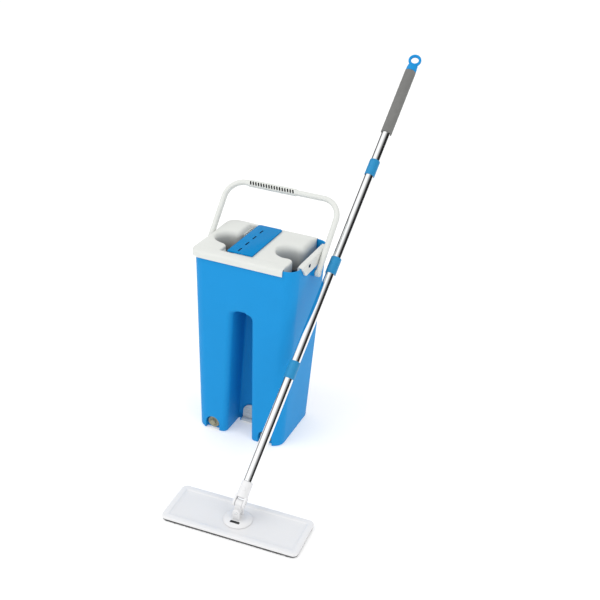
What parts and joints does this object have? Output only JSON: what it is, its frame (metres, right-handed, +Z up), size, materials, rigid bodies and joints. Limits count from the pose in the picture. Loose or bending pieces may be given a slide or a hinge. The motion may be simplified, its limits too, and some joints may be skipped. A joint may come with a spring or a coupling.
{
  "type": "mop and bucket with wringer",
  "caption": "Flat mop with a jointed head and sectional handle, and a two-chamber bucket with a slotted wringer lid, swinging bail, drain plugs and fold-down foot pedal.",
  "frame": {"origin": "middle of the bucket's flat base, on the floor", "axes": "+Z up, -Y out of the bucket's front, where the pedal and drain plugs are, +X to the bucket's right, the wash side"},
  "size_m": [0.3701, 0.7586, 0.7055],
  "materials": {
    "blue_plastic": "semi-gloss",
    "white_plastic": "satin",
    "grey_plastic": "satin",
    "rubber": "matte",
    "steel": "polished",
    "microfibre": "pile",
    "hook_tape": "woven",
    "foam": "matte"
  },
  "bodies": {
    "bucket": {"bucket_body": "blue_plastic", "rim_strip": "white_plastic", "pedal_pin": "steel"},
    "bail": {"bail_handle": "white_plastic"},
    "lid": {"wringer_lid": "white_plastic", "comb_front": "white_plastic", "comb_back": "white_plastic"},
    "cover": {"scraper_cover": "blue_plastic", "scraper_lip": "rubber"},
    "pedal": {"foot_pedal": "white_plastic"},
    "dry_plug": {"drain_plug_dry": "grey_plastic", "plug_seal_dry": "rubber"},
    "wash_plug": {"drain_plug_wash": "grey_plastic", "plug_seal_wash": "rubber"},
    "mop_pole": {"neck_socket": "white_plastic", "upper_pin": "steel", "tube_1": "steel", "tube_2": "steel", "tube_3": "steel", "tube_4": "steel", "connector_1": "blue_plastic", "connector_2": "blue_plastic", "connector_3": "blue_plastic", "thread_insert_1": "white_plastic", "thread_insert_2": "white_plastic", "thread_insert_3": "white_plastic", "foam_grip": "foam", "end_cap": "blue_plastic"},
    "cross": {"joint_cross": "white_plastic", "lower_pin": "steel"},
    "head": {"head_plate": "white_plastic", "joint_base": "white_plastic", "hook_strip_front": "hook_tape", "hook_strip_back": "hook_tape", "mop_pad": "microfibre"}
  },
  "joints": [
    {"name": "bail_swing", "type": "hinge", "parent": "bucket", "child": "bail", "pos_m": [0, 0, 0.3632], "axis": [1, 0, 0], "range_deg": [-68.3, 121.7]},
    {"name": "lid_lift", "type": "slide", "parent": "bucket", "child": "lid", "axis": [0, 0, 1], "range_m": [0, 0.08]},
    {"name": "cover_lift", "type": "slide", "parent": "lid", "child": "cover", "axis": [0, 0, 1], "range_m": [0, 0.03]},
    {"name": "pedal_fold", "type": "hinge", "parent": "bucket", "child": "pedal", "pos_m": [0, -0.02, 0.0056], "axis": [1, 0, 0], "range_deg": [0, 90]},
    {"name": "plug_dry_pull", "type": "slide", "parent": "bucket", "child": "dry_plug", "axis": [0, -1, 0], "range_m": [0, 0.014]},
    {"name": "plug_wash_pull", "type": "slide", "parent": "bucket", "child": "wash_plug", "axis": [0, -1, 0], "range_m": [0, 0.014]},
    {"name": "mop_lift", "type": "slide", "parent": "bucket", "child": "mop_pole", "axis": [0, 0, 1], "range_m": [0, 0.04]},
    {"name": "head_tilt", "type": "hinge", "parent": "mop_pole", "child": "cross", "pos_m": [0.11743, -0.31492, 0.04591], "axis": [0.993, 0.0486, -0.108], "range_deg": [-126.6, 33.4]},
    {"name": "head_roll", "type": "hinge", "parent": "cross", "child": "head", "pos_m": [0.1157, -0.315, 0.03], "axis": [-0.0488, 0.9988, 0], "range_deg": [-82, 94.4]}
  ]
}
